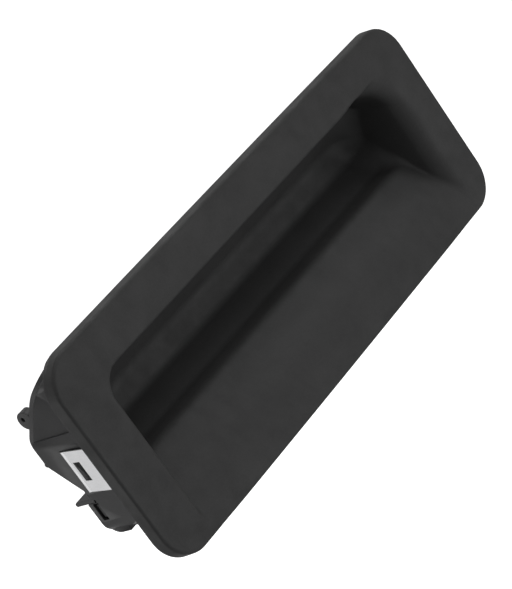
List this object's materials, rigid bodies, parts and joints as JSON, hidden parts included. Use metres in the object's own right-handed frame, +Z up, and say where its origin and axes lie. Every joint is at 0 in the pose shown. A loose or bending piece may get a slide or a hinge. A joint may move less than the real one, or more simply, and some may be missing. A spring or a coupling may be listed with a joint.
{
  "type": "recessed tailgate handle",
  "caption": "Black recessed car tailgate handle with a finger cup, hidden release switch under the lip, spring clips at both ends and a plug at the back.",
  "frame": {"origin": "centre of the bezel's rear face, in the plane of the body panel's outer face", "axes": "+X along the handle, +Z up towards the lip side, +Y into the car, through the panel"},
  "size_m": [0.198, 0.044, 0.072],
  "materials": {
    "bezel_black": "fine-grained moulded black plastic",
    "cover_black": "satin black plastic",
    "gasket_foam": "closed-cell foam rubber",
    "pad_rubber": "soft black rubber with grip ribs",
    "paddle_grey": "glass-filled dark grey plastic",
    "pin_steel": "ground steel",
    "spring_wire": "bright spring wire",
    "screw_zinc": "bright zinc plate",
    "switch_black": "gloss black plastic",
    "switch_red": "matte red plastic",
    "plunger_ivory": "acetal",
    "terminal_brass": "tinned brass",
    "connector_black": "matte black plastic",
    "seal_orange": "silicone rubber",
    "wire_red": "wire insulation",
    "wire_black": "wire insulation",
    "clip_steel": "bright spring steel, finely rolled"
  },
  "bodies": {
    "housing": {"handle_housing": "bezel_black", "bezel_gasket": "gasket_foam", "paddle_hinge_pins": "pin_steel", "paddle_springs": "spring_wire", "switch_carrier": "paddle_grey", "carrier_screws": "screw_zinc", "microswitch_case": "switch_black", "microswitch_base": "switch_red", "microswitch_terminals": "terminal_brass", "switch_screws": "screw_zinc", "rear_cover": "cover_black", "cover_screws": "screw_zinc", "connector_shell": "connector_black", "connector_seal": "seal_orange", "connector_pins": "terminal_brass", "supply_wire": "wire_red", "signal_wire": "wire_black", "left_clip": "clip_steel", "right_clip": "clip_steel"},
    "paddle": {"release_paddle": "paddle_grey", "touch_pad": "pad_rubber"},
    "plunger": {"microswitch_plunger": "plunger_ivory"},
    "left_leg": {"left_clip_leg": "clip_steel"},
    "right_leg": {"right_clip_leg": "clip_steel"}
  },
  "joints": [
    {"name": "paddle_hinge", "type": "hinge", "parent": "housing", "child": "paddle", "pos_m": [0, 0.0102, 0.0249], "axis": [-1, 0, 0], "range_deg": [0, 6], "stiffness_Nm_per_rad": 0.25, "springref_deg": -3.44, "deforming": ["paddle_springs"]},
    {"name": "plunger_slide", "type": "slide", "parent": "housing", "child": "plunger", "axis": [0, 0, 1], "range_m": [0, 0.00075]},
    {"name": "left_clip_flex", "type": "hinge", "parent": "housing", "child": "left_leg", "pos_m": [-0.0933, 0.0156, 0.0011], "axis": [0, 0, 1], "range_deg": [0, 5], "stiffness_Nm_per_rad": 2},
    {"name": "right_clip_flex", "type": "hinge", "parent": "housing", "child": "right_leg", "pos_m": [0.0933, 0.0156, 0.0011], "axis": [0, 0, 1], "range_deg": [-5, 0], "stiffness_Nm_per_rad": 2}
  ],
  "couplings": [
    {"joint": "plunger_slide", "follows": "paddle_hinge", "m_per_rad": 0.0068}
  ]
}
